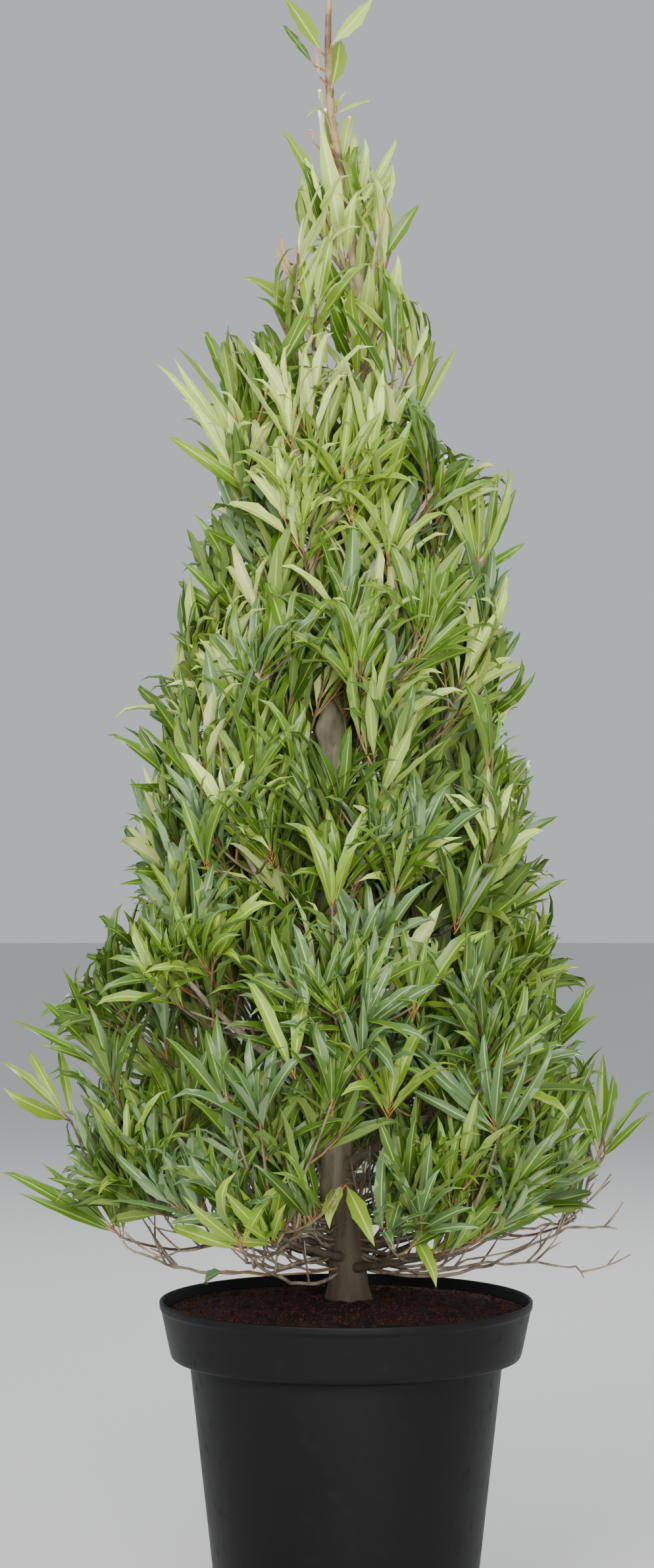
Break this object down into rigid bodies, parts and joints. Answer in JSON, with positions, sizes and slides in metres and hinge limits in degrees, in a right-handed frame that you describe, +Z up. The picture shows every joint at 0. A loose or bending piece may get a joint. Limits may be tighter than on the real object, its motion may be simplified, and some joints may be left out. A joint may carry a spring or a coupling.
{
  "type": "potted bay laurel",
  "caption": "Tall, loose pyramid of narrow-leaved bay laurel on one trunk, in a round black nursery pot with a wide rim band; it stands free on the pot's flat underside.",
  "frame": {"origin": "middle of the pot's flat underside, where the plant stands", "axes": "+Z up along the trunk, -Y towards the viewer of the picture, -X to the viewer's left"},
  "size_m": [0.683, 0.6765, 1.7982],
  "materials": {
    "pot_plastic": "satin",
    "soil": "matte",
    "bark": "matte",
    "foliage": "satin",
    "young_foliage": "satin"
  },
  "bodies": {
    "root": {"pot": "pot_plastic", "soil": "soil", "trunk": "bark", "bough_1_1": "bark", "bough_1_2": "bark", "bough_1_3": "bark", "bough_1_4": "bark", "bough_1_5": "bark", "bough_1_6": "bark", "bough_1_7": "bark", "bough_2_1": "bark", "bough_2_2": "bark", "bough_2_3": "bark", "bough_2_4": "bark", "bough_2_5": "bark", "bough_2_6": "bark", "bough_2_7": "bark", "foliage_1_1": "foliage", "foliage_1_2": "foliage", "foliage_1_3": "foliage", "foliage_1_4": "foliage", "foliage_1_5": "foliage", "foliage_1_6": "foliage", "foliage_1_7": "foliage", "foliage_2_1": "foliage", "foliage_2_2": "foliage", "foliage_2_3": "foliage", "foliage_2_4": "foliage", "foliage_2_5": "foliage", "foliage_2_6": "foliage", "foliage_2_7": "foliage", "foliage_3_1": "foliage", "foliage_3_2": "foliage", "foliage_3_3": "foliage", "foliage_3_4": "foliage", "foliage_3_5": "foliage", "foliage_3_6": "foliage", "foliage_3_7": "foliage", "foliage_4_1": "foliage", "foliage_4_2": "foliage", "foliage_4_3": "foliage", "foliage_4_4": "foliage", "foliage_4_5": "foliage", "foliage_4_6": "foliage", "foliage_5_1": "foliage", "foliage_5_2": "foliage", "foliage_5_3": "foliage", "foliage_5_4": "foliage", "foliage_5_5": "foliage", "foliage_5_6": "foliage", "foliage_6_1": "young_foliage", "foliage_6_2": "young_foliage", "foliage_6_3": "young_foliage", "foliage_6_4": "young_foliage", "foliage_7_1": "young_foliage", "foliage_7_2": "young_foliage", "foliage_7_3": "young_foliage", "foliage_7_4": "young_foliage", "foliage_top": "young_foliage"}
  },
  "joints": []
}
